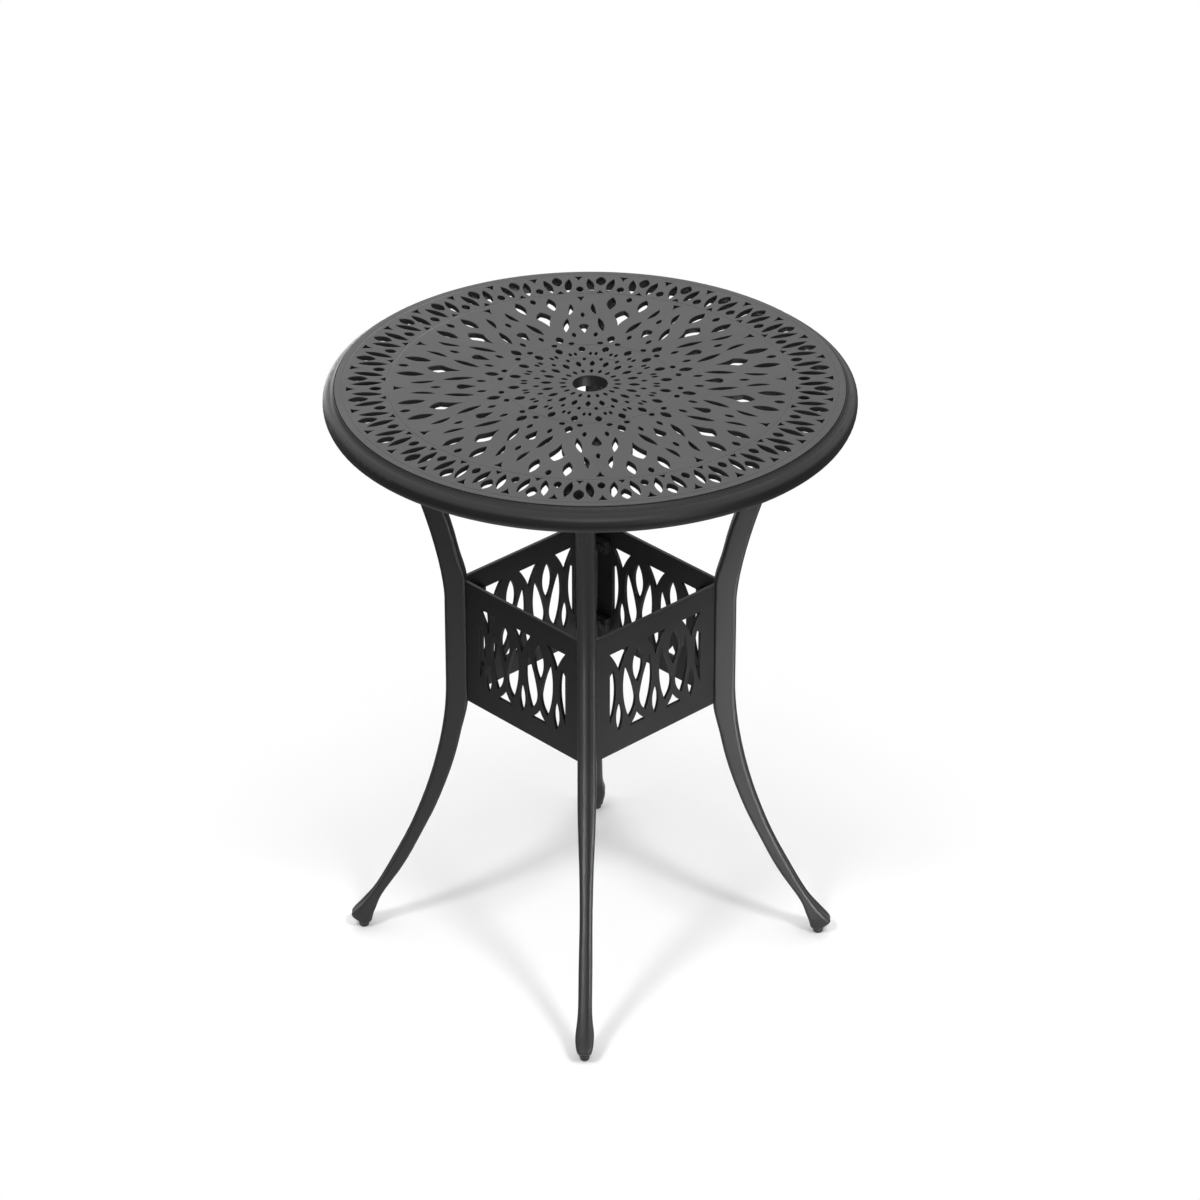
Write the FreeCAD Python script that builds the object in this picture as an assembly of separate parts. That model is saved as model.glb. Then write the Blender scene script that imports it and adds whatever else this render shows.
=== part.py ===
"""Round umbrella table in cast aluminium: openwork top, four bent legs, four lattice panels, glides."""
import FreeCAD, Part
import math
import os

from FreeCAD import Vector

# Frame: millimetres, +Z up, origin on the floor under the middle of the umbrella hole.
# The legs stand on the X and Y axes, the front leg on -Y.

# Whole table
table_height = 730.0
table_radius = 300.0
glide_circle_radius = 271.0

# Deck of the top casting
deck_thickness = 6.0
opening_bevel_height = 0.6
opening_narrowing = 0.94
umbrella_hole_radius = 20.0
collar_wall = 6.0
collar_depth = 13.0
pattern_turn = 4.4

# Rolled rim
rim_width = 13.5
rim_drop = 27.0
rim_groove_width = 1.6
rim_groove_depth = 1.4
rim_cove_width = 4.0
rim_cove_drop = 5.5
rim_wall = 6.0

# Centre rosette of the openwork: the radii of its rings of openings
rosette_count = 20
rosette_turn = -5.6
eyelet_ring_radius = 31.0
petal_ring_radius = 49.5
bead_ring_radius = 61.0
heart_ring_radius = 74.5
outer_petal_ring_radius = 86.0
slot_ring_radius = 101.5

# Field of the openwork, between the rosette and the border
field_count = 12

# Border of the openwork: a lattice bent round the edge
border_count = 32
border_width = 43.5
plain_band_width = 13.0

# Bolting pads between the legs and the top
pad_radial = 28.0
pad_across = 58.0
pad_thickness = 5.0
boss_thickness = 6.0
pad_centre_radius = 235.0
top_bolt_spacing = 40.0

# Legs
leg_depth = 25.4
leg_width = 21.2
leg_corner_radius = 3.5
leg_flute_width = 8.0
leg_flute_depth = 1.2
waist_radius = 167.6
shoulder_overlap = 21.0
shin_overlap = 25.0
leg_top_reach = 78.4
leg_top_depth = 22.0
shoulder_power = 1.5
taper_top = 285.0
taper_bottom = 165.0
slim_width = 15.1
ankle_height = 50.0
ankle_reach = 92.4
ankle_depth = 11.5
ankle_width = 17.0
shin_power = 1.9

# Club foot, from the instep to the sole. Each section: reach from the glide's axis, height above
# the sole, tilt in degrees, depth, width, corner radius and flute depth
instep_section = (-1.8, 29.2, 27.0, 15.3, 20.2, 3.5, 1.2)
ball_section = (5.6, 20.2, 12.0, 19.2, 21.4, 4.0, 0.9)
toe_section = (13.0, 12.2, 6.0, 24.5, 19.6, 5.0, 0.5)
sole_section = (6.5, 0.0, 0.0, 15.5, 15.5, 5.0, 0.1)

# Lattice panels
panel_bottom = 320.0
panel_height = 158.0
panel_thickness = 4.0
panel_setback = 0.6
panel_seat_depth = 0.3
panel_seat_gap = 0.03
window_height = 106.0
lattice_period = 57.0

# Bolting ears inside the corners of the panel box
ear_arm = 26.0
ear_thickness = 5.0
ear_height = 16.0
ear_stem_half = 3.0
ear_inset = 27.0
ear_bolt_reach = 18.0
ear_boss_height = 3.0
ear_boss_width = 15.0

# Fasteners
top_bolt_diameter = 6.0
top_bolt_engagement = 5.0
panel_bolt_diameter = 5.0
panel_bolt_engagement = 5.0
hole_clearance = 0.4
thread_clearance = 0.2
washer_thickness = 1.2

# Levelling glides
glide_height = 8.0
glide_radius = 6.8
glide_sole_radius = 5.6
glide_edge_radius = 1.2
glide_gap = 0.3
stud_diameter = 6.0
stud_length = 21.5
stud_seat_height = 2.5
stud_running_gap = 0.15
stud_press_gap = 0.05
insert_radius = 4.6
insert_length = 13.0
insert_gap = 0.05

# Places that follow from the sizes above
deck_underside = table_height - deck_thickness
boss_underside = deck_underside - boss_thickness
pad_underside = boss_underside - pad_thickness
collar_radius = umbrella_hole_radius + collar_wall
groove_radius = table_radius - rim_width
border_outer_radius = groove_radius - plain_band_width
leg_back_radius = waist_radius - leg_depth
leg_inner_radius = leg_back_radius + panel_seat_depth
panel_top = panel_bottom + panel_height
waist_top = panel_top - shoulder_overlap
waist_bottom = panel_bottom + shin_overlap
window_bottom = panel_bottom + (panel_height - window_height) / 2
panel_corner_sum = leg_inner_radius + leg_width / 2 - panel_setback
panel_face_distance = panel_corner_sum / math.sqrt(2)
ear_heights = [panel_bottom + ear_inset, panel_top - ear_inset]
ear_face_distance = panel_face_distance - panel_thickness - ear_boss_height
foot_underside = glide_height + glide_gap

legs = {"front": -90.0, "right": 0.0, "rear": 90.0, "left": 180.0}
panels = {"front_right": -45.0, "rear_right": 45.0, "rear_left": 135.0, "front_left": -135.0}
up = Vector(0, 0, 1)
centre = Vector(0, 0, 0)


def turned(shape, angle):
    """Copy of a shape turned about the table's upright axis."""
    copy = shape.copy()
    copy.rotate(centre, up, angle)
    return copy


def outline(steps, place):
    """Closed wire through corners. Each step is a corner and the middle of the arc to the next
    corner, or None for a straight line; place turns two numbers into a point."""
    edges = []
    for index, (corner, middle) in enumerate(steps):
        start = place(*corner)
        end = place(*steps[(index + 1) % len(steps)][0])
        if middle is None:
            edges.append(Part.LineSegment(start, end).toShape())
        else:
            edges.append(Part.Arc(start, place(*middle), end).toShape())
    return Part.Wire(edges)


def leaf(across, along, half_width, half_length):
    """Opening pointed at both ends, its length along the second coordinate."""
    first_side = (across + half_width, along)
    second_side = (across - half_width, along)
    return [((across, along - half_length), first_side), ((across, along + half_length), second_side)]


def blade(start, end, first_bulge, second_bulge):
    """Opening between two tips, with its own bulge across on each side."""
    across = (start[0] + end[0]) / 2
    along = (start[1] + end[1]) / 2
    return [(start, (across + first_bulge, along)), (end, (across + second_bulge, along))]


def mirrored(steps):
    """The same opening on the other side of its axis."""
    result = []
    for corner, middle in steps:
        other = None if middle is None else (-middle[0], middle[1])
        result.append(((-corner[0], corner[1]), other))
    return result


def lattice_cell(lens, bud, head_corner, foot_corner, long_opening):
    """Openings of one period of the interlaced lattice. The first coordinate counts periods from
    the lens, the second runs from 0 at the lattice's foot to 1 at its head. lens and bud give the
    half width and the low and high end of those openings, the two corners the half width and the
    depth of the triangles at head and foot, and long_opening the steps of the one on the right."""
    lens_opening = leaf(0, sum(lens[1:]) / 2, lens[0], (lens[2] - lens[1]) / 2)
    bud_opening = leaf(0.5, sum(bud[1:]) / 2, bud[0], (bud[2] - bud[1]) / 2)
    half, depth = head_corner
    side = 1 - depth * 0.45
    head = [((0.5 - half, 1), None), ((0.5 + half, 1), (0.5 + half * 0.45, side))]
    head.append(((0.5, 1 - depth), (0.5 - half * 0.45, side)))
    half, depth = foot_corner
    side = depth * 0.42
    foot = [((-half, 0), None), ((half, 0), (half * 0.42, side)), ((0, depth), (-half * 0.42, side))]
    return [lens_opening, bud_opening, head, foot, long_opening, mirrored(long_opening)]


def rosette_openings():
    """Openings of one sector of the centre rosette, in degrees and radii."""
    half_pitch = 180 / rosette_count
    openings = [leaf(0, eyelet_ring_radius, 3.9, 4.4)]
    openings.append(leaf(0, petal_ring_radius, 3.5, 6.8))
    openings.append(leaf(half_pitch, bead_ring_radius, 2.0, 3.9))
    for side in (-1, 1):
        openings.append(leaf(side * 2.4, heart_ring_radius, 1.5, 4.4))
    openings.append(leaf(half_pitch, outer_petal_ring_radius, 2.7, 7))
    return openings


def field_openings():
    """Openings of one sector of the field, in degrees from the sector's axis and radii."""
    half_pitch = 180 / field_count
    drop = [((0, 127), (1.5, 136.5)), ((2.3, 143.5), (0, 150)), ((-2.3, 143.5), (-1.5, 136.5))]
    spade = [((0, 207.5), (0.5, 215)), ((1.3, 220.5), None), ((-1.3, 220.5), (-0.5, 215))]
    upper_side = (half_pitch + 1.25, 161)
    lower_side = (half_pitch + 1.9, 182)
    kite = [
        ((half_pitch, 148), upper_side),
        ((half_pitch + 3.0, 173), lower_side),
        ((half_pitch, 188.5), (2 * half_pitch - lower_side[0], lower_side[1])),
        ((half_pitch - 3.0, 173), (2 * half_pitch - upper_side[0], upper_side[1])),
    ]
    seed = leaf(0, 173, 0.85, 6.5)
    bud = leaf(half_pitch, 215.5, 0.9, 6.5)
    flower = leaf(half_pitch, 113, 2.3, 8.5)
    openings = [drop, spade, kite, seed, bud, flower]
    slot = leaf(9.3, slot_ring_radius, 2, 3.4)
    bead = leaf(5.8, 122.5, 1.2, 6)
    long_blade = blade((9.3, 131), (6.2, 166), 1.4, -1.4)
    crescent = blade((5.2, 174), (3.7, 202.5), -1.4, 0.3)
    outer_leaf = leaf(9.8, 204, 1.5, 16.5)
    for opening in (slot, bead, long_blade, crescent, outer_leaf):
        openings.append(opening)
        openings.append(mirrored(opening))
    return openings


def border_openings():
    """Openings of one sector of the border, in degrees from a lens of the lattice and radii."""
    pitch = 360 / border_count
    long_opening = [((0.31, 0.94), (0.36, 0.58)), ((0.215, 0.12), (0.175, 0.58))]
    cell = lattice_cell((0.095, 0.59, 0.925), (0.12, 0, 0.55), (0.1, 0.17), (0.1, 0.27), long_opening)
    openings = []
    for steps in cell:
        sector = []
        for corner, middle in steps:
            spots = [corner] if middle is None else [corner, middle]
            sized = []
            for share, along in spots:
                sized.append((share * pitch, border_outer_radius - along * border_width))
            sector.append((sized[0], sized[1] if middle else None))
        openings.append(sector)
    return openings


def opening_wires(steps, turn):
    """Wires of one opening of the deck at the top face, below its bevel and at the underside."""
    def place(angle, radius):
        direction = math.radians(angle + turn)
        return Vector(radius * math.cos(direction), radius * math.sin(direction), 0)

    plan = outline(steps, place)
    middle = plan.BoundBox.Center
    wires = []
    levels = [(table_height, 1.0)]
    levels.append((table_height - opening_bevel_height, opening_narrowing))
    levels.append((deck_underside, opening_narrowing))
    for height, share in levels:
        wire = plan.copy()
        wire.scale(share, middle)
        wire.translate(Vector(0, 0, height))
        wires.append(wire)
    return wires


def deck_openings():
    """Wires of every opening of the openwork."""
    groups = [(rosette_openings(), rosette_count, rosette_turn)]
    groups.append((field_openings(), field_count, 0.0))
    groups.append((border_openings(), border_count, 0.0))
    openings = []
    for shapes, count, phase in groups:
        for index in range(count):
            turn = 90 + pattern_turn + phase + index * 360 / count
            for steps in shapes:
                openings.append(opening_wires(steps, turn))
    return openings


def ring_wire(radius, height):
    """Circle about the table's axis."""
    return Part.Wire(Part.makeCircle(radius, Vector(0, 0, height), up))


def spun(wire):
    """Faces made by turning a profile in the XZ plane once about the table's axis."""
    return wire.revolve(centre, up, 360).Faces


def line(*spots):
    """Edges of an open profile through spots given as radius and height."""
    points = [Vector(radius, 0, height) for radius, height in spots]
    return [Part.LineSegment(a, b).toShape() for a, b in zip(points, points[1:])]


def bend(start, middle, end):
    """Arc of a profile through three spots given as radius and height."""
    spots = [Vector(radius, 0, height) for radius, height in (start, middle, end)]
    return [Part.Arc(*spots).toShape()]


def rim_profile():
    """Section of the rolled rim, from the deck's top face round to its underside."""
    groove_floor = table_height - rim_groove_depth
    cove_top = (groove_radius + rim_groove_width, groove_floor + 0.5)
    cove_foot = (cove_top[0] + rim_cove_width, table_height - rim_cove_drop)
    cove_middle = (cove_top[0] + rim_cove_width * 0.35, cove_foot[1] + rim_cove_drop * 0.3)
    nose_height = table_height - rim_drop / 2 - 1
    nose_shoulder = (table_radius - 2.2, nose_height + 6.2)
    lip_height = table_height - rim_drop
    lip_outer = (table_radius - 3.0, lip_height)
    lip_inner = (table_radius - rim_wall - 1, lip_height)
    nose = (table_radius, nose_height)
    inside_top = (groove_radius - 2, deck_underside)
    inside_turn = (lip_inner[0] - 1.5, deck_underside - 4)
    edges = line((groove_radius, table_height), (groove_radius + 0.3, groove_floor), cove_top)
    edges += bend(cove_top, cove_middle, cove_foot)
    edges += bend(cove_foot, nose_shoulder, nose)
    edges += bend(nose, (table_radius - 0.7, lip_height + 5), lip_outer)
    edges += line(lip_outer, lip_inner, inside_turn, inside_top)
    return Part.Wire(edges)


def collar_profile():
    """Section of the collar round the umbrella hole, from the deck's underside to its top face."""
    foot = table_height - collar_depth
    spots = [(collar_radius, deck_underside), (collar_radius, foot), (umbrella_hole_radius, foot)]
    return Part.Wire(line(*spots, (umbrella_hole_radius, table_height)))


def top_casting():
    """Openwork deck, rolled rim, umbrella collar and the bosses that the legs bolt to."""
    openings = deck_openings()
    top_wires = [ring_wire(groove_radius, table_height), ring_wire(umbrella_hole_radius, table_height)]
    low_wires = [ring_wire(groove_radius - 2, deck_underside), ring_wire(collar_radius, deck_underside)]
    faces = spun(rim_profile()) + spun(collar_profile())
    for wires in openings:
        top_wires.append(wires[0])
        low_wires.append(wires[-1])
        faces += Part.makeLoft(wires, False, True).Faces
    faces.append(Part.makeFace(top_wires, "Part::FaceMakerBullseye"))
    faces.append(Part.makeFace(low_wires, "Part::FaceMakerBullseye"))
    skin = Part.makeCompound(faces)
    skin.sewShape()
    casting = Part.Solid(skin.Shells[0] if skin.Shells else Part.Shell(skin.Faces))
    if casting.Volume < 0:
        casting.reverse()
    return casting.multiFuse([turned(top_boss(), angle) for angle in legs.values()])


def pad_block(thickness, low):
    """Rounded block of the bolting pads, on the +X side."""
    corner = Vector(pad_centre_radius - pad_radial / 2, -pad_across / 2, low)
    block = Part.makeBox(pad_radial, pad_across, thickness, corner)
    upright = [edge for edge in block.Edges if abs(edge.tangentAt(edge.FirstParameter).z) > 0.9]
    return block.makeFillet(pad_radial / 4, upright)


def top_bolt_spots():
    """Axes of the two bolts of a leg's pad, on the +X side."""
    return [Vector(pad_centre_radius, side * top_bolt_spacing / 2, 0) for side in (-1, 1)]


def top_boss():
    """Boss under the deck with its two blind threaded holes, on the +X side."""
    boss = pad_block(boss_thickness, boss_underside)
    radius = (top_bolt_diameter + thread_clearance) / 2
    for spot in top_bolt_spots():
        start = spot + Vector(0, 0, boss_underside)
        boss = boss.cut(Part.makeCylinder(radius, top_bolt_engagement + 0.4, start))
    return boss


def leg_section(outer, inner, width, flute, corner=leg_corner_radius):
    """Section of a leg: a rounded bar with a shallow flute along its outer face. outer and inner
    are the radius and height of its two edges."""
    outer_edge = Vector(outer[0], 0, outer[1])
    inner_edge = Vector(inner[0], 0, inner[1])
    depth = (outer_edge - inner_edge).Length
    outwards = (outer_edge - inner_edge) * (1 / depth)
    half = width / 2
    soft = corner * (1 - math.sqrt(0.5))
    groove = min(leg_flute_width / 2, half - corner - 0.5)

    def place(along, across):
        return inner_edge + outwards * along + Vector(0, across, 0)

    steps = [
        ((0, corner - half), None),
        ((0, half - corner), (soft, half - soft)),
        ((corner, half), None),
        ((depth - corner, half), (depth - soft, half - soft)),
        ((depth, half - corner), None),
        ((depth, groove), (depth - flute, 0)),
        ((depth, -groove), None),
        ((depth, corner - half), (depth - soft, soft - half)),
        ((depth - corner, -half), None),
        ((corner, -half), (soft, soft - half)),
    ]
    return outline(steps, place)


def leaning_section(radius, height, lean, depth, width):
    """Section square to a leg's outer edge where that leans outwards by an angle, in radians."""
    inner = (radius - depth * math.cos(lean), height + depth * math.sin(lean))
    return leg_section((radius, height), inner, width, leg_flute_depth)


def shoulder_sections():
    """Sections from the pad down to the straight waist."""
    rise = pad_underside - waist_top
    top_radius = waist_radius + leg_top_reach
    pad_level = pad_underside + pad_thickness / 2
    foot = (top_radius - leg_top_depth - 2, pad_level)
    sections = [leg_section((top_radius, pad_level), foot, leg_width, leg_flute_depth)]
    for share in (0.88, 0.72, 0.56, 0.4, 0.28, 0.18):
        radius = waist_radius + leg_top_reach * share ** shoulder_power
        slope = shoulder_power * leg_top_reach * share ** (shoulder_power - 1) / rise
        depth = leg_depth + (leg_top_depth - leg_depth) * share
        height = waist_top + rise * share
        sections.append(leaning_section(radius, height, math.atan(slope), depth, leg_width))
    for height in (panel_top + 1, (panel_top + waist_top) / 2):
        share = (height - waist_top) / rise
        sections.append(waist_section(height, leg_top_reach * share ** shoulder_power))
    return sections


def waist_section(height, lead=0.0):
    """Level section beside the panels: its back is straight, lead moves its outer edge out."""
    outer = (waist_radius + lead, height)
    return leg_section(outer, (leg_back_radius, height), leg_width, leg_flute_depth)


def shin_width(height):
    """Width of a leg below its waist: it narrows, then grows a little down to the ankle."""
    if height > taper_bottom:
        share = max(0, (taper_top - height) / (taper_top - taper_bottom))
        return leg_width + (slim_width - leg_width) * share * share * (3 - 2 * share)
    share = (taper_bottom - height) / (taper_bottom - ankle_height)
    return slim_width + (ankle_width - slim_width) * share ** 3


def shin_sections():
    """Sections from the waist down to the ankle."""
    drop = waist_bottom - ankle_height
    sections = []
    for height in ((panel_bottom + waist_bottom) / 2, panel_bottom - 1):
        share = (waist_bottom - height) / drop
        sections.append(waist_section(height, ankle_reach * share ** shin_power))
    for share in (0.2, 0.3, 0.4, 0.5, 0.6, 0.75, 0.9, 1):
        radius = waist_radius + ankle_reach * share ** shin_power
        slope = shin_power * ankle_reach * share ** (shin_power - 1) / drop
        depth = leg_depth + (ankle_depth - leg_depth) * share
        height = waist_bottom - drop * share
        lean = -math.atan(slope)
        sections.append(leaning_section(radius, height, lean, depth, shin_width(height)))
    return sections


def foot_sections():
    """Sections of the club foot, down to its flat sole."""
    sections = []
    for station in (instep_section, ball_section, toe_section, sole_section):
        reach, rise, tilt, depth, width, corner, flute = station
        outer = (glide_circle_radius + reach, foot_underside + rise)
        lean = math.radians(tilt)
        inner = (outer[0] - depth * math.cos(lean), outer[1] - depth * math.sin(lean))
        sections.append(leg_section(outer, inner, width, flute, corner))
    return sections


def bolting_ear(height):
    """V-shaped ear behind two panel ends, tied to the leg by a narrow stem, on the +X side."""
    face_sum = ear_face_distance * math.sqrt(2)
    reach = ear_arm / math.sqrt(2)
    back = ear_thickness / math.sqrt(2)
    half = [(leg_inner_radius + 1, ear_stem_half), (face_sum - ear_stem_half, ear_stem_half)]
    half.append((face_sum - reach, reach))
    half.append((face_sum - reach - back, reach - back))
    apex = (face_sum - 2 * back, 0)
    spots = half + [apex] + [(x, -y) for x, y in reversed(half)]
    low = height - ear_height / 2
    wire = Part.makePolygon([Vector(x, y, low) for x, y in spots + spots[:1]])
    ear = Part.Face(wire).extrude(Vector(0, 0, ear_height))
    radius = (panel_bolt_diameter + hole_clearance) / 2
    for side in (-1, 1):
        start, inwards = ear_bolt_axis(side, height)
        ear = ear.cut(Part.makeCylinder(radius, ear_thickness + 2, start - inwards, inwards))
    return ear


def ear_bolt_axis(side, height):
    """Point on a panel bolt's axis where it leaves the panel's boss, and its direction inwards."""
    face_sum = ear_face_distance * math.sqrt(2)
    reach = ear_bolt_reach / math.sqrt(2)
    start = Vector(face_sum - reach, side * reach, height)
    inwards = Vector(-1, -side, 0) * math.sqrt(0.5)
    return start, inwards


def leg_casting():
    """One leg on the +X side: pad, bent bar with the flat seat that two panels meet, club foot,
    ears, bolt holes and insert hole."""
    upper_end = waist_section(waist_top)
    lower_end = waist_section(waist_bottom)
    shoulder = Part.makeLoft(shoulder_sections() + [upper_end], True, False)
    waist = Part.makeLoft([upper_end, lower_end], True, True)
    shin = Part.makeLoft([lower_end] + shin_sections() + foot_sections(), True, False)
    seat_corner = Vector(leg_back_radius - 1, -leg_width, panel_bottom - panel_seat_gap)
    seat = Part.makeBox(panel_seat_depth + 1, 2 * leg_width, panel_height + 2 * panel_seat_gap, seat_corner)
    pieces = [pad_block(pad_thickness, pad_underside)]
    for height in ear_heights:
        pieces.append(bolting_ear(height))
    leg = waist.multiFuse([shoulder, shin]).cut(seat).multiFuse(pieces)
    radius = (top_bolt_diameter + hole_clearance) / 2
    tools = []
    for spot in top_bolt_spots():
        start = spot + Vector(0, 0, pad_underside - 1)
        tools.append(Part.makeCylinder(radius, pad_thickness + 2, start))
    hole = Vector(glide_circle_radius, 0, foot_underside - 1)
    tools.append(Part.makeCylinder(insert_radius + insert_gap, insert_length + 1, hole))
    stud_room = stud_seat_height + stud_length - foot_underside + 2
    tools.append(Part.makeCylinder(stud_diameter / 2 + stud_running_gap, stud_room, hole))
    return leg.cut(tools)


def lattice_openings():
    """Openings of a panel's lattice, in periods from its middle and as a share of its height."""
    long_opening = [((0.335, 0.79), (0.4, 0.5)), ((0.235, 0.11), (0.1, 0.2))]
    long_opening.append(((0.058, 0.36), (0.155, 0.56)))
    lens = (0.135, 0.505, 0.947)
    cell = lattice_cell(lens, (0.09, 0, 0.365), (0.265, 0.265), (0.225, 0.165), long_opening)
    edge_sliver = [((1.165, 0.79), (1.095, 0.5)), ((1.262, 0.12), None), ((1.262, 0.73), None)]
    openings = [edge_sliver, mirrored(edge_sliver)]
    for column in (-0.5, 0.5):
        for steps in cell:
            moved = []
            for corner, middle in steps:
                moved_middle = None if middle is None else (middle[0] + column, middle[1])
                moved.append(((corner[0] + column, corner[1]), moved_middle))
            openings.append(moved)
    lone_bud, lone_head = openings[-5], openings[-4]
    return openings + [mirrored(lone_bud), mirrored(lone_head)]


def panel_wires(low_side):
    """Wires of a panel's openings on a plane square to X."""
    def place(share, along):
        return Vector(low_side, share * lattice_period, window_bottom + along * window_height)

    return [outline(steps, place) for steps in lattice_openings()]


def panel_bosses():
    """Bosses on a panel's inner face, where the legs' ears bolt to it."""
    bosses = []
    for side in (-1, 1):
        across = side * (ear_face_distance - ear_bolt_reach) - ear_boss_width / 2
        for height in ear_heights:
            corner = Vector(ear_face_distance, across, height - ear_height / 2)
            bosses.append(Part.makeBox(ear_boss_height, ear_boss_width, ear_height, corner))
    return bosses


def panel_casting():
    """One lattice panel on the +X side, its outer face square to X, its ends mitred to the legs."""
    outer_half = (2 * leg_inner_radius - panel_corner_sum) / math.sqrt(2) - panel_seat_gap * math.sqrt(2)
    inner_half = outer_half + panel_thickness
    face = panel_face_distance
    back = face - panel_thickness
    spots = [(face, -outer_half), (face, outer_half), (back, inner_half), (back, -inner_half)]
    wire = Part.makePolygon([Vector(x, y, panel_bottom) for x, y in spots + spots[:1]])
    plate = Part.Face(wire).extrude(Vector(0, 0, panel_height))
    tools = []
    for opening in panel_wires(back - 1):
        tools.append(Part.Face(opening).extrude(Vector(panel_thickness + 2, 0, 0)))
    panel = plate.cut(tools).multiFuse(panel_bosses())
    holes = []
    radius = (panel_bolt_diameter + thread_clearance) / 2
    for side in (-1, 1):
        for height in ear_heights:
            start = Vector(ear_face_distance, side * (ear_face_distance - ear_bolt_reach), height)
            holes.append(Part.makeCylinder(radius, panel_bolt_engagement + 0.4, start, Vector(1, 0, 0)))
    return panel.cut(holes)


def placed(shape, spot, direction):
    """Copy of a piece made along +Z, moved to a spot and turned to a direction."""
    copy = shape.copy()
    copy.Placement = FreeCAD.Placement(spot, FreeCAD.Rotation(up, direction))
    return copy


def hex_bolt(diameter, grip):
    """Hexagon bolt along +Z whose washer seats at the origin."""
    head_height = diameter * 0.65
    radius = diameter * 0.95
    corners = [Vector(radius, 0, 0)]
    for index in range(1, 7):
        turn = math.radians(60 * index)
        corners.append(Vector(radius * math.cos(turn), radius * math.sin(turn), 0))
    low = -washer_thickness - head_height
    head = Part.Face(Part.makePolygon(corners)).extrude(Vector(0, 0, head_height))
    head.translate(Vector(0, 0, low))
    crown = Part.makeCone(radius * 0.86, radius + head_height, head_height * 1.2, Vector(0, 0, low))
    shank = Part.makeCylinder(diameter / 2, washer_thickness + grip, Vector(0, 0, -washer_thickness))
    return head.common(crown).fuse(shank).removeSplitter()


def washer(diameter):
    """Plain washer along +Z that seats at the origin."""
    ring = Part.makeCylinder(diameter, washer_thickness, Vector(0, 0, -washer_thickness))
    bore = (diameter + hole_clearance) / 2
    return ring.cut(Part.makeCylinder(bore, washer_thickness + 2, Vector(0, 0, -washer_thickness - 1)))


def top_fastener_places():
    """Seats of the bolts that hold the legs to the top."""
    places = []
    for angle in legs.values():
        for spot in top_bolt_spots():
            turn = FreeCAD.Rotation(up, angle)
            places.append((turn.multVec(spot + Vector(0, 0, pad_underside)), up))
    return places


def panel_fastener_places():
    """Seats of the bolts that hold the panels to the legs' ears."""
    places = []
    for angle in legs.values():
        turn = FreeCAD.Rotation(up, angle)
        for height in ear_heights:
            for side in (-1, 1):
                start, inwards = ear_bolt_axis(side, height)
                seat = start + inwards * ear_thickness
                places.append((turn.multVec(seat), turn.multVec(inwards * -1)))
    return places


def group(shape, places):
    """The same piece at every place, as separate solids."""
    return Part.makeCompound([placed(shape, spot, direction) for spot, direction in places])


def foot_insert():
    """Threaded insert pressed into a foot, on the +X side."""
    start = Vector(glide_circle_radius, 0, foot_underside)
    sleeve = Part.makeCylinder(insert_radius, insert_length, start)
    bore = stud_diameter / 2 + stud_running_gap
    return sleeve.cut(Part.makeCylinder(bore, insert_length + 2, start - up))


def glide_pad():
    """Moulded pad of a levelling glide with the blind seat of its stud, on the +X side."""
    rim = glide_radius
    sole = glide_sole_radius
    top = glide_height
    edge = glide_edge_radius
    soft = edge * (1 - math.sqrt(0.5))
    edges = line((0, 0), (sole - edge, 0))
    edges += bend((sole - edge, 0), (sole - soft, soft), (sole, edge))
    edges += line((sole, edge), (rim, top - edge))
    edges += bend((rim, top - edge), (rim - soft, top - soft), (rim - edge, top))
    edges += line((rim - edge, top), (0, top), (0, 0))
    pad = Part.Face(Part.Wire(edges)).revolve(centre, up, 360)
    seat_radius = stud_diameter / 2 + stud_press_gap
    pad = pad.cut(Part.makeCylinder(seat_radius, top, Vector(0, 0, stud_seat_height)))
    pad.translate(Vector(glide_circle_radius, 0, 0))
    return pad


def glide_stud():
    """Threaded stud of a levelling glide, on the +X side."""
    start = Vector(glide_circle_radius, 0, stud_seat_height)
    stud = Part.makeCylinder(stud_diameter / 2, stud_length, start)
    tip = [edge for edge in stud.Edges if edge.BoundBox.ZMin > stud_seat_height + stud_length / 2]
    return stud.makeChamfer(0.8, tip)


def save(name, shape):
    """Write one node and print what it holds."""
    shape.exportStep("parts/%s.step" % name)
    print(name, len(shape.Solids), "solids, valid:", shape.isValid(), "volume:", round(shape.Volume))


def main():
    """Make every piece and write one file per node."""
    os.makedirs("parts", exist_ok=True)
    save("table_top", top_casting())
    leg = leg_casting()
    pad = glide_pad()
    stud = glide_stud()
    for name, angle in legs.items():
        save("leg_" + name, turned(leg, angle))
        save("glide_pad_" + name, turned(pad, angle))
        save("glide_stud_" + name, turned(stud, angle))
    panel = panel_casting()
    for name, angle in panels.items():
        save("panel_" + name, turned(panel, angle))
    top_grip = pad_thickness + top_bolt_engagement
    panel_grip = ear_thickness + panel_bolt_engagement
    save("top_bolts", group(hex_bolt(top_bolt_diameter, top_grip), top_fastener_places()))
    save("top_washers", group(washer(top_bolt_diameter), top_fastener_places()))
    save("panel_bolts", group(hex_bolt(panel_bolt_diameter, panel_grip), panel_fastener_places()))
    save("panel_washers", group(washer(panel_bolt_diameter), panel_fastener_places()))
    inserts = [turned(foot_insert(), angle) for angle in legs.values()]
    save("foot_inserts", Part.makeCompound(inserts))


main()
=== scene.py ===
# %% [markdown]
# # A cast-aluminium umbrella table
#
# This lesson dresses a finished CAD model of a round garden table: an openwork top with a hole for
# an umbrella pole, four bent legs, a square box of lattice panels between them, and small glides
# under the feet. The shapes come from the CAD model, which is loaded first and never moved. What is
# made here is the finish of each piece, the light, the floor and the camera. All lengths are in
# metres.

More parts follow.
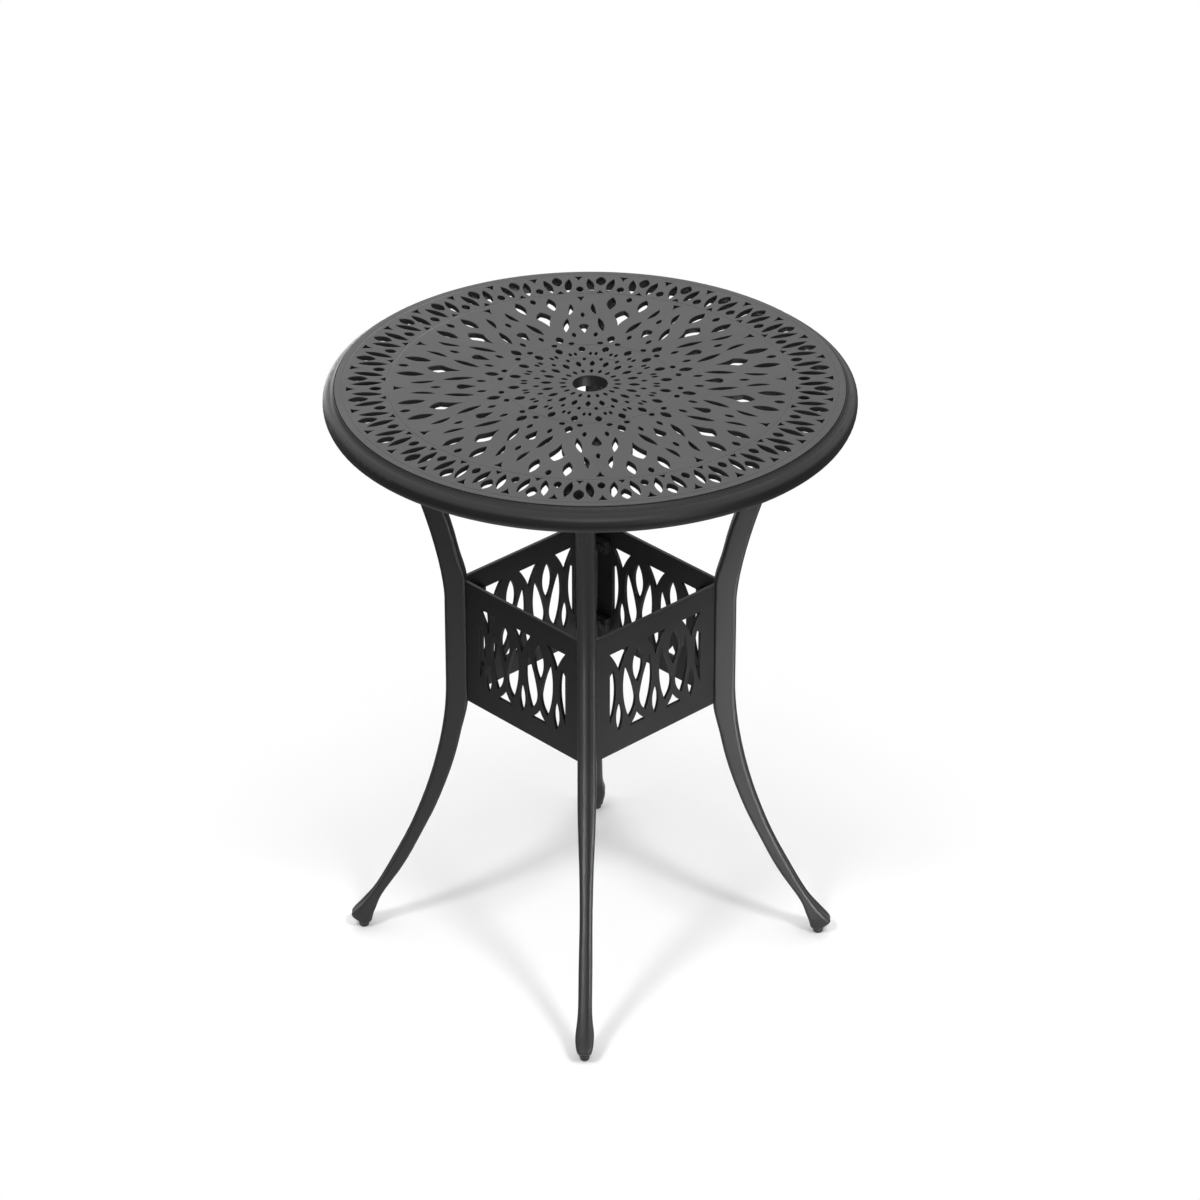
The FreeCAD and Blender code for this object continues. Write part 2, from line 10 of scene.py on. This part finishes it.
# %% Load the table
import bpy
import math
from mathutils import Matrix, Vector

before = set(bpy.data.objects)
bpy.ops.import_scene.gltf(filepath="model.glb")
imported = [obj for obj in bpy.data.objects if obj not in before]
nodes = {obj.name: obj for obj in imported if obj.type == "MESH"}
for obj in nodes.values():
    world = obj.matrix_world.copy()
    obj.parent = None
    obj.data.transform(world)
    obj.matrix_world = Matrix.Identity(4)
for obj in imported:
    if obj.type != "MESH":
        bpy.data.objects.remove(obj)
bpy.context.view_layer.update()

# %% [markdown]
# ## The camera
#
# The photograph looks down on the table from the front, a little to the right, so that the rear
# leg just shows beside the front one. Its upright lines stay parallel, which a tilted camera can't
# do without a large lens shift. A long lens far away comes close to it with no shift at all, so the
# camera was fitted to the rim, the umbrella hole, the box and the feet with the shift held at zero.

# %% Place the camera
camera_place = Vector((0.1314, -4.8605, 3.2263))
camera_pitch = math.radians(29.72)
camera_turn = math.radians(1.42)
photo_width = 1200
focal_pixels = 4873.9
sensor_width = 36.0

lens = bpy.data.cameras.new("camera")
lens.sensor_width = sensor_width
lens.lens = sensor_width * (focal_pixels / photo_width)
lens.clip_start = 0.1
lens.clip_end = 100.0
camera = bpy.data.objects.new("camera", lens)
bpy.context.scene.collection.objects.link(camera)
camera.location = camera_place
camera.rotation_euler = (math.pi / 2 - camera_pitch, 0, camera_turn)
bpy.context.scene.camera = camera
print("lens:", round(lens.lens, 1), "mm")

# %% [markdown]
# ## Helpers for node trees
#
# Every finish below is a small tree of nodes. Writing each node in three lines would bury the idea,
# so one helper adds a node, sets its options and joins its inputs: an input is either a number or
# the output of another node. The others name the few nodes that the finishes use again and again.

# %% Add nodes in one line
noise_low, noise_high = 0.3, 0.7


def add(tree, kind, inputs=None, **options):
    """Add a node, set its options, and set or link its inputs."""
    made = tree.nodes.new(kind)
    for name, value in options.items():
        setattr(made, name, value)
    for name, value in (inputs or {}).items():
        if isinstance(value, bpy.types.NodeSocket):
            tree.links.new(value, made.inputs[name])
        else:
            made.inputs[name].default_value = value
    return made


def math_node(tree, operation, *values):
    """A Math node's output."""
    return add(tree, "ShaderNodeMath", dict(enumerate(values)), operation=operation).outputs[0]


def mapped(tree, value, low, high, to_low, to_high):
    """A value moved from one range to another, without overshoot."""
    inputs = {
        "Value": value, "From Min": low, "From Max": high, "To Min": to_low, "To Max": to_high,
    }
    return add(tree, "ShaderNodeMapRange", inputs, interpolation_type="SMOOTHSTEP").outputs[0]


def noise(tree, place, scale, detail=2.0):
    """Noise between 0 and 1, mostly from noise_low to noise_high. The scale is waves per metre."""
    inputs = {"Vector": place, "Scale": scale, "Detail": detail}
    return add(tree, "ShaderNodeTexNoise", inputs).outputs["Fac"]


def scaled(tree, colour, share):
    """A colour times a number."""
    inputs = {0: colour, "Scale": share}
    return add(tree, "ShaderNodeVectorMath", inputs, operation="SCALE").outputs[0]


def mixed_number(tree, share, first, second):
    """A number that goes from the first to the second as the share goes from 0 to 1."""
    inputs = {0: share, 2: first, 3: second}
    return add(tree, "ShaderNodeMix", inputs, data_type="FLOAT").outputs[0]


def mixed_colour(tree, share, first, second):
    """A colour that goes from the first to the second as the share goes from 0 to 1."""
    inputs = {0: share, 6: first, 7: second}
    return add(tree, "ShaderNodeMix", inputs, data_type="RGBA").outputs[2]


def mixed_shader(tree, share, first, second):
    """A shader that goes from the first to the second as the share goes from 0 to 1."""
    return add(tree, "ShaderNodeMixShader", {0: share, 1: first, 2: second}).outputs[0]


print("node helpers ready")

# %% [markdown]
# ## Helpers for groups and materials
#
# An effect that several finishes share is a node group, so that it is built once and each material
# gives it its own values. A new material always starts with the Principled shader, which stays in
# the material itself, because an export can't read a shader that is hidden in a group.

# %% Start a group or a material


def new_group(name, inputs, outputs):
    """An empty node group with named sockets, given as name and kind of socket."""
    group = bpy.data.node_groups.new(name, "ShaderNodeTree")
    for label, kind in inputs.items():
        group.interface.new_socket(label, in_out="INPUT", socket_type="NodeSocket" + kind)
    for label, kind in outputs.items():
        group.interface.new_socket(label, in_out="OUTPUT", socket_type="NodeSocket" + kind)
    start = group.nodes.new("NodeGroupInput")
    end = group.nodes.new("NodeGroupOutput")
    return group, start.outputs, end.inputs


def new_material(name):
    """A new material, its node tree and its Principled shader."""
    material = bpy.data.materials.new(name)
    material.use_nodes = True
    tree = material.node_tree
    return material, tree, tree.nodes["Principled BSDF"]


print("group and material helpers ready")

# %% [markdown]
# ## The skin of a powder coat
#
# Powder coat is sprayed on dry and melts into a film. It never levels out fully: close up it has a
# fine orange peel, and under it lie the slow waves of the casting. A photograph of a coat could be
# used as an image, but it would blur close up and repeat. Two noises do better: both are heights in
# metres, so that a Bump node with a distance of 1 gives them their real depth.

# %% Build the powder skin group
skin_sockets = {
    "Place": "Vector",
    "Peel Size": "Float",
    "Peel Depth": "Float",
    "Wave Size": "Float",
    "Wave Depth": "Float",
}
powder_skin, given, result = new_group("powder_skin", skin_sockets, {"Height": "Float"})
peel_scale = math_node(powder_skin, "DIVIDE", 1.0, given["Peel Size"])
wave_scale = math_node(powder_skin, "DIVIDE", 1.0, given["Wave Size"])
peel_noise = noise(powder_skin, given["Place"], peel_scale)
wave_noise = noise(powder_skin, given["Place"], wave_scale, 1.0)
peel = math_node(powder_skin, "MULTIPLY", peel_noise, given["Peel Depth"])
wave = math_node(powder_skin, "MULTIPLY", wave_noise, given["Wave Depth"])
powder_skin.links.new(math_node(powder_skin, "ADD", peel, wave), result["Height"])
print("group:", powder_skin.name)

# %% [markdown]
# ## The tone of a powder coat
#
# A sprayed film is a little thicker here and thinner there, so its tone drifts over a hand's width
# and its gloss changes with it. One flat colour would look like plastic. So the group mixes wide
# clouds with millimetre specks, and gives a colour close to the one it is given and a roughness
# close to its own.

# %% Build the powder tone group
cloud_scale = 14.0
speck_scale = 900.0
cloud_share = 0.75
roughness_swing = 0.35

powder_tone, given, result = new_group(
    "powder_tone",
    {"Place": "Vector", "Colour": "Color", "Roughness": "Float", "Drift": "Float"},
    {"Colour": "Color", "Roughness": "Float"},
)
cloud = noise(powder_tone, given["Place"], cloud_scale, 3.0)
speck = noise(powder_tone, given["Place"], speck_scale)
clouds = math_node(powder_tone, "MULTIPLY", cloud, cloud_share)
specks = math_node(powder_tone, "MULTIPLY", speck, 1.0 - cloud_share)
blend = math_node(powder_tone, "ADD", clouds, specks)
centred = math_node(powder_tone, "SUBTRACT", blend, 0.5)
swing = math_node(powder_tone, "MULTIPLY", centred, given["Drift"])
gain = math_node(powder_tone, "ADD", 1.0, swing)
powder_tone.links.new(scaled(powder_tone, given["Colour"], gain), result["Colour"])
rougher = math_node(powder_tone, "MULTIPLY", swing, roughness_swing)
rough = math_node(powder_tone, "ADD", given["Roughness"], rougher)
powder_tone.links.new(rough, result["Roughness"])
print("group:", powder_tone.name)

# %% [markdown]
# ## Painted highlights and polish on the edges
#
# Hands, cloths and chair arms polish a table's edges first, so the coat is smoother there, and the
# paler colour along each edge is a painted highlight. A mask for them could be painted by hand on
# every piece, but the Bevel node finds the edges by itself: it rounds the normal near an edge, so
# where that differs from the true normal there is an edge. The group gives that as a mask, broken
# up by noise so that it doesn't look drawn on.

# %% Build the edge group
edge_begins = 0.995
edge_full = 0.8
edge_break_scale = 60.0
least_edge_share = 0.35

edge_highlight_and_polish, given, result = new_group(
    "edge_highlight_and_polish", {"Place": "Vector", "Rounded": "Vector"}, {"Mask": "Float"}
)
true_normal = add(edge_highlight_and_polish, "ShaderNodeNewGeometry").outputs["Normal"]
normals = {0: given["Rounded"], 1: true_normal}
agree = add(edge_highlight_and_polish, "ShaderNodeVectorMath", normals, operation="DOT_PRODUCT").outputs["Value"]
edge = mapped(edge_highlight_and_polish, agree, edge_begins, edge_full, 0.0, 1.0)
patches = noise(edge_highlight_and_polish, given["Place"], edge_break_scale, 3.0)
broken = mapped(edge_highlight_and_polish, patches, noise_low, noise_high, least_edge_share, 1.0)
edge_highlight_and_polish.links.new(math_node(edge_highlight_and_polish, "MULTIPLY", edge, broken), result["Mask"])
print("group:", edge_highlight_and_polish.name)

# %% [markdown]
# ## Turned rings on the top
#
# The casting's top face carries faint ring lines that separate the centre rosette, the field and
# the border. They could be cut into the mesh, but they are too shallow to change the outline, so
# they are a height over the radius from the middle of the umbrella hole: a narrow groove at each
# ring.

# %% Build the ring group
ring_radii = [0.0625, 0.0960, 0.2275, 0.2790]
ring_half_width = 0.0011

ring_lines, given, result = new_group(
    "ring_lines", {"Place": "Vector", "Depth": "Float"}, {"Height": "Float"}
)
split = add(ring_lines, "ShaderNodeSeparateXYZ", {0: given["Place"]}).outputs
level = {"X": split["X"], "Y": split["Y"], "Z": 0.0}
flat = add(ring_lines, "ShaderNodeCombineXYZ", level).outputs[0]
radius = add(ring_lines, "ShaderNodeVectorMath", {0: flat}, operation="LENGTH").outputs["Value"]
total = None
for ring in ring_radii:
    away = math_node(ring_lines, "ABSOLUTE", math_node(ring_lines, "SUBTRACT", radius, ring))
    groove = mapped(ring_lines, away, 0.0, ring_half_width, 1.0, 0.0)
    total = groove if total is None else math_node(ring_lines, "MAXIMUM", total, groove)
depth = math_node(ring_lines, "MULTIPLY", total, given["Depth"])
ring_lines.links.new(math_node(ring_lines, "MULTIPLY", depth, -1.0), result["Height"])
print("group:", ring_lines.name, "rings:", len(ring_radii))

# %% [markdown]
# ## Painted shade in the recesses
#
# The narrow openings of a garden table lie in shade, and the sprayed coat is thinnest on their
# walls. Lamps alone leave those walls too light. The Ambient Occlusion node says how much of the
# sky a point sees within a finger's width of its own piece, and the group turns that into painted
# shade, a darker colour, and into a duller coat in the recesses.

# %% Build the painted recess shade group
ray_samples = 6
closed_in = 0.45
open_sky = 0.95
recess_dullness = 0.5

painted_recess_shade, given, result = new_group(
    "painted_recess_shade",
    {"Colour": "Color", "Roughness": "Float", "Reach": "Float", "Darkest": "Float"},
    {"Colour": "Color", "Roughness": "Float"},
)
reach = {"Distance": given["Reach"]}
sky = add(painted_recess_shade, "ShaderNodeAmbientOcclusion", reach, samples=ray_samples, only_local=True)
seen_sky = mapped(painted_recess_shade, sky.outputs["AO"], closed_in, open_sky, 0.0, 1.0)
# Painted shade: the less sky a point sees, the darker its colour.
shade = mixed_number(painted_recess_shade, seen_sky, given["Darkest"], 1.0)
painted_recess_shade.links.new(scaled(painted_recess_shade, given["Colour"], shade), result["Colour"])
hidden_sky = math_node(painted_recess_shade, "SUBTRACT", 1.0, seen_sky)
duller = math_node(painted_recess_shade, "MULTIPLY", hidden_sky, recess_dullness)
painted_recess_shade.links.new(math_node(painted_recess_shade, "ADD", given["Roughness"], duller), result["Roughness"])
print("group:", painted_recess_shade.name)

# %% [markdown]
# ## The charcoal powder coat
#
# The top, the legs and the panels have the same coat, but not the same casting under it: the top is
# poured flat and is smoother, the legs are filed along their seams. Three materials built by hand
# would drift apart, so one function makes the coat with its own values for each. The Bevel node
# also feeds the normal, which gives every edge of the casting the small radius that a real one has.
# Nobody smooths the underside of the top, so its flat faces that look down are duller.

# %% Write the powder coat as a function
# The paler colour of the painted highlight along the edges.
edge_highlight_charcoal = (0.032, 0.032, 0.033, 1.0)
tone_drift = 0.35
peel_size = 0.0012
peel_depth = 0.000020
wave_size = 0.018
edge_polish = 0.08
recess_reach = 0.02
# How dark the painted shade makes the coat in the deepest recesses.
painted_shade_darkest = 0.1
faces_down = -0.98
faces_aside = -0.85


def placed_group(tree, group, inputs):
    """The outputs of a group that is placed in a tree with its own values."""
    return add(tree, "ShaderNodeGroup", inputs, node_tree=group).outputs


def powder_coat(
    name, colour, roughness, gloss, wave_depth, edge_radius, ring_depth=0.0, dull_below=0.0
):
    """A satin charcoal powder coat over cast aluminium."""
    material, tree, shader = new_material(name)
    shader.inputs["Specular IOR Level"].default_value = gloss
    place = add(tree, "ShaderNodeTexCoord").outputs["Object"]
    rounded = add(tree, "ShaderNodeBevel", {"Radius": edge_radius}, samples=ray_samples).outputs[0]

    tone_values = {"Place": place, "Colour": colour, "Roughness": roughness, "Drift": tone_drift}
    tone = placed_group(tree, powder_tone, tone_values)
    highlit_edge = placed_group(tree, edge_highlight_and_polish, {"Place": place, "Rounded": rounded})["Mask"]
    # Painted highlight: along the edges the coat's colour turns paler, and its roughness drops.
    coat = mixed_colour(tree, highlit_edge, tone["Colour"], edge_highlight_charcoal)
    smoother = math_node(tree, "MULTIPLY", highlit_edge, -edge_polish)
    matte = math_node(tree, "ADD", tone["Roughness"], smoother)
    if dull_below:
        facing = add(tree, "ShaderNodeNewGeometry").outputs["Normal"]
        upward = add(tree, "ShaderNodeSeparateXYZ", {0: facing}).outputs["Z"]
        underside = mapped(tree, upward, faces_down, faces_aside, dull_below, 0.0)
        matte = math_node(tree, "ADD", matte, underside)

    # Painted shade: the recess group darkens the base colour where little sky is seen, and makes
    # the coat rougher there.
    shade_and_dullness_values = {
        "Colour": coat, "Roughness": matte, "Reach": recess_reach, "Darkest": painted_shade_darkest,
    }
    shade_and_dullness = placed_group(tree, painted_recess_shade, shade_and_dullness_values)
    tree.links.new(shade_and_dullness["Colour"], shader.inputs["Base Color"])
    tree.links.new(shade_and_dullness["Roughness"], shader.inputs["Roughness"])

    skin_values = {
        "Place": place,
        "Peel Size": peel_size,
        "Peel Depth": peel_depth,
        "Wave Size": wave_size,
        "Wave Depth": wave_depth,
    }
    height = placed_group(tree, powder_skin, skin_values)["Height"]
    if ring_depth:
        rings = placed_group(tree, ring_lines, {"Place": place, "Depth": ring_depth})
        height = math_node(tree, "ADD", height, rings["Height"])
    bump = add(tree, "ShaderNodeBump", {"Height": height, "Distance": 1.0, "Normal": rounded})
    tree.links.new(bump.outputs[0], shader.inputs["Normal"])
    return material


print("powder coat ready")

# %% [markdown]
# ## One coat, three castings
#
# The top catches most of the light, and its satin shine tells how smooth it is. The legs are
# handled and filed more, so their coat is duller and wavier, and its colour is a little paler as
# painted light, so that they look more lit. The panels are thin flat castings with crisp edges.
# These are only numbers, so the function is called once for each.

# %% Coat the castings
charcoal = (0.012, 0.012, 0.0125, 1.0)
# Painted light: a paler copy of the same charcoal, so that the legs look more lit.
painted_lit_charcoal = (0.018, 0.018, 0.019, 1.0)

top_coat = powder_coat(
    "charcoal_coat_top",
    charcoal,
    roughness=0.42,
    gloss=0.45,
    wave_depth=0.00010,
    edge_radius=0.0009,
    ring_depth=0.0002,
    dull_below=0.4,
)
leg_coat = powder_coat(
    "charcoal_coat_leg",
    painted_lit_charcoal,
    roughness=0.50,
    gloss=0.32,
    wave_depth=0.00015,
    edge_radius=0.0012,
)
panel_coat = powder_coat(
    "charcoal_coat_panel",
    charcoal,
    roughness=0.48,
    gloss=0.28,
    wave_depth=0.00012,
    edge_radius=0.0007,
)
print("coats:", top_coat.name, leg_coat.name, panel_coat.name)

# %% [markdown]
# ## Plated and coated fasteners
#
# The bolts and washers are steel with a thin black coat, so that they don't show inside the box.
# The studs of the glides are plain zinc-plated steel, a grey metal with dull and bright patches,
# and the inserts in the feet are turned brass. They are too small for dust and wear, so they need
# no groups. A metal keeps a plain Metallic of 1, and the life is in the roughness and a hair-fine
# bump.

# %% Make the fasteners' finishes
plating_patch_scale = 220.0
dull_patch_share = 0.75
grain_depth = 0.000006


def fastener_finish(name, colour, metallic, smoothest, roughest, grain):
    """A plated, coated or turned metal with patches of dull and bright."""
    material, tree, shader = new_material(name)
    shader.inputs["Metallic"].default_value = metallic
    place = add(tree, "ShaderNodeTexCoord").outputs["Object"]
    patch = noise(tree, place, plating_patch_scale, 4.0)
    dull = [dull_patch_share * part for part in colour]
    tint = mixed_colour(tree, patch, (*dull, 1.0), (*colour, 1.0))
    tree.links.new(tint, shader.inputs["Base Color"])
    roughness = mapped(tree, patch, noise_low, noise_high, smoothest, roughest)
    tree.links.new(roughness, shader.inputs["Roughness"])
    height = math_node(tree, "MULTIPLY", noise(tree, place, 1.0 / grain), grain_depth)
    bump = add(tree, "ShaderNodeBump", {"Height": height, "Distance": 1.0})
    tree.links.new(bump.outputs[0], shader.inputs["Normal"])
    return material


black_coat = fastener_finish(
    "black_coated_steel", (0.018, 0.018, 0.019), 0.0, smoothest=0.30, roughest=0.50, grain=0.0006
)
zinc = fastener_finish(
    "zinc_plate", (0.60, 0.61, 0.63), 1.0, smoothest=0.24, roughest=0.42, grain=0.0006
)
brass = fastener_finish(
    "turned_brass", (0.72, 0.52, 0.24), 1.0, smoothest=0.20, roughest=0.34, grain=0.0004
)
print("fasteners:", black_coat.name, zinc.name, brass.name)

# %% [markdown]
# ## Moulded nylon
#
# The glides are black nylon with the fine spark texture of their mould. Where they slide on paving
# they are scuffed, so the lowest two millimetres are paler and rougher. That follows the height of
# the piece itself, and so the scuffs stay on the glide when it is screwed out.

# %% Make the nylon
black_nylon = (0.012, 0.012, 0.013, 1.0)
scuffed_nylon = (0.075, 0.073, 0.070, 1.0)
scuff_bottom = 0.0002
scuff_top = 0.0022
scratch_scale = 1400.0
scratch_low, scratch_high = 0.42, 0.62
smooth_nylon = 0.45
rough_nylon = 0.75
spark_scale = 2500.0
spark_depth = 0.00002

nylon, tree, shader = new_material("moulded_nylon")
place = add(tree, "ShaderNodeTexCoord").outputs["Object"]
height_above_floor = add(tree, "ShaderNodeSeparateXYZ", {0: place}).outputs["Z"]
low_part = mapped(tree, height_above_floor, scuff_bottom, scuff_top, 1.0, 0.0)
streaks = noise(tree, place, scratch_scale, 5.0)
scratches = mapped(tree, streaks, scratch_low, scratch_high, 0.0, 1.0)
scuff = math_node(tree, "MULTIPLY", low_part, scratches)
tint = mixed_colour(tree, scuff, black_nylon, scuffed_nylon)
tree.links.new(tint, shader.inputs["Base Color"])
roughness = mapped(tree, scuff, 0.0, 1.0, smooth_nylon, rough_nylon)
tree.links.new(roughness, shader.inputs["Roughness"])
spark = math_node(tree, "MULTIPLY", noise(tree, place, spark_scale), spark_depth)
bump = add(tree, "ShaderNodeBump", {"Height": spark, "Distance": 1.0})
tree.links.new(bump.outputs[0], shader.inputs["Normal"])
print("plastic:", nylon.name)

# %% [markdown]
# ## Give every piece its finish
#
# The CAD shapes are right as they are, so each one keeps its mesh and only its material slots
# change. The names say what each piece is, so a table of how names start is enough. The bolts and
# washers of the panels come before the panels, because the first start that fits is taken.

# %% Assign the finishes
finishes = {
    "table_top": top_coat,
    "leg": leg_coat,
    "panel_bolts": black_coat,
    "panel_washers": black_coat,
    "panel": panel_coat,
    "top_bolts": black_coat,
    "top_washers": black_coat,
    "glide_pad": nylon,
    "glide_stud": zinc,
    "foot_inserts": brass,
}
for name, piece in nodes.items():
    finish = next(finishes[start] for start in finishes if name.startswith(start))
    piece.data.materials.clear()
    piece.data.materials.append(finish)
print("finished pieces:", len(nodes))

# %% [markdown]
# ## The floor
#
# The floor is one large disc under the glides. A backdrop that curves up behind the table would
# hide the horizon too, but it would show as a wall in views from the side and from behind.

# %% Add the floor
floor_radius = 9.0

bpy.ops.object.select_all(action="DESELECT")
bpy.ops.mesh.primitive_circle_add(
    vertices=96, radius=floor_radius, fill_type="NGON", location=(0, 0, 0)
)
floor = bpy.context.active_object
floor.name = "floor"
print("floor:", floor.name)

# %% [markdown]
# ## The floor's material
#
# The table stands on a pale sheet that is only a little larger than the table, in a darker room.
# The sheet takes the soft shadows and throws light up at the legs, most of it on their lower parts.
# An endless white floor would light the legs and panels from below much too strongly. For the
# camera the floor turns into plain white light further out, so no horizon shows. Seen from
# underneath it is clear, so that the underside can be looked at.

# %% Finish the floor
sheet_start = 0.30
sheet_end = 0.80
sheet_white = (0.92, 0.92, 0.92, 1.0)
room_grey = (0.10, 0.10, 0.10, 1.0)

floor_finish, tree, shader = new_material("studio_floor")
shader.inputs["Roughness"].default_value = 0.9
shader.inputs["Specular IOR Level"].default_value = 0.0
place = add(tree, "ShaderNodeTexCoord").outputs["Object"]
away = add(tree, "ShaderNodeVectorMath", {0: place}, operation="LENGTH").outputs["Value"]
outer = mapped(tree, away, sheet_start, sheet_end, 0.0, 1.0)
camera_ray = add(tree, "ShaderNodeLightPath").outputs["Is Camera Ray"]
other_ray = math_node(tree, "SUBTRACT", 1.0, camera_ray)
darker = math_node(tree, "MULTIPLY", outer, other_ray)
sheet = mixed_colour(tree, darker, sheet_white, room_grey)
tree.links.new(sheet, shader.inputs["Base Color"])

white = add(tree, "ShaderNodeEmission", {"Strength": 1.0}).outputs[0]
far_seen = math_node(tree, "MULTIPLY", outer, camera_ray)
seen_above = mixed_shader(tree, far_seen, shader.outputs[0], white)
clear = add(tree, "ShaderNodeBsdfTransparent").outputs[0]
from_below = add(tree, "ShaderNodeNewGeometry").outputs["Backfacing"]
seen_below = math_node(tree, "MULTIPLY", from_below, camera_ray)
surface = mixed_shader(tree, seen_below, seen_above, clear)
tree.links.new(surface, tree.nodes["Material Output"].inputs["Surface"])
floor.data.materials.append(floor_finish)
print("floor finish:", floor_finish.name)

# %% [markdown]
# ## The light of the room
#
# Most of the light comes softly from above, as under a large white ceiling, and little comes from
# the sides. So the top is bright, the upright faces are darker and the inside of the box is nearly
# black. A ring of lamps could do it too, but the world is one even light with no edges. What a
# glossy coat mirrors is kept apart from what lights it, and the camera sees plain white.

# %% Make the world
side_strength = 0.25
ceiling_strength = 1.9
shine_strength = 0.9
ceiling_edge = 0.5
shine_low, shine_high = -0.2, 0.3
white_light = (1.0, 1.0, 1.0, 1.0)

world = bpy.data.worlds.new("white_ceiling")
world.use_nodes = True
bpy.context.scene.world = world
tree = world.node_tree
rays = add(tree, "ShaderNodeLightPath").outputs
direction = add(tree, "ShaderNodeTexCoord").outputs["Generated"]
rise = add(tree, "ShaderNodeSeparateXYZ", {0: direction}).outputs["Z"]
lit = mapped(tree, rise, ceiling_edge, 1.0, side_strength, ceiling_strength)
shine = mapped(tree, rise, shine_low, shine_high, side_strength, shine_strength)
room = mixed_number(tree, rays["Is Glossy Ray"], lit, shine)
shown = math_node(tree, "MAXIMUM", rays["Is Camera Ray"], rays["Is Transmission Ray"])
strength = mixed_number(tree, shown, room, 1.0)
background = tree.nodes["Background"].inputs
tree.links.new(strength, background["Strength"])
background["Color"].default_value = white_light
print("light from above:", ceiling_strength, "from the sides:", side_strength)

# %% [markdown]
# ## Lamps and cards
#
# Two lamps high in front, left and right, draw the crossing shadows of the legs on the floor. They
# don't show in reflections, where they would be hard spots on the satin coat. What the coat mirrors
# are four soft white cards, which in turn light nothing else: one on the right that makes the right
# legs brighter than the left ones, and one each in front, behind and above the back.

# %% Place the lamps and the cards
lamp_aside, lamp_depth, lamp_height = 1.3, -1.7, 3.2
lamp_target = (0, 0, 0.4)
lamp_size = 0.5
lamp_power = 38.0
card_right_spread = math.radians(50)


def soft_light(name, place, target, size, power):
    """A square light aimed at a point."""
    light = bpy.data.lights.new(name, "AREA")
    light.size = size
    light.energy = power
    made = bpy.data.objects.new(name, light)
    bpy.context.scene.collection.objects.link(made)
    made.location = place
    made.rotation_euler = (Vector(target) - Vector(place)).to_track_quat("-Z", "Y").to_euler()
    return made


for name, side in (("lamp_left", -1), ("lamp_right", 1)):
    lamp_place = (side * lamp_aside, lamp_depth, lamp_height)
    lamp = soft_light(name, lamp_place, lamp_target, lamp_size, lamp_power)
    lamp.visible_glossy = False

cards = [
    soft_light("card_right", (0.70, -0.75, 0.20), (0.25, 0.05, 0.2), size=0.6, power=5.5),
    soft_light("card_front", (0.15, -1.9, 0.90), (0, -0.2, 0.1), size=1.4, power=10.0),
    soft_light("card_rear", (-0.9, 1.9, 0.55), (0, 0.1, 0.3), size=1.1, power=16.0),
    soft_light("card_back", (0, 3.2, 2.7), (0, 0, 0.7), size=2.5, power=18.0),
]
cards[0].data.spread = card_right_spread
for card in cards:
    card.visible_diffuse = False
print("lamps: 2 cards:", len(cards))

# %% [markdown]
# ## Colour
#
# Standard view transform shows each colour as it is written.

# %% Set the view and finish
bpy.context.scene.view_settings.view_transform = "Standard"
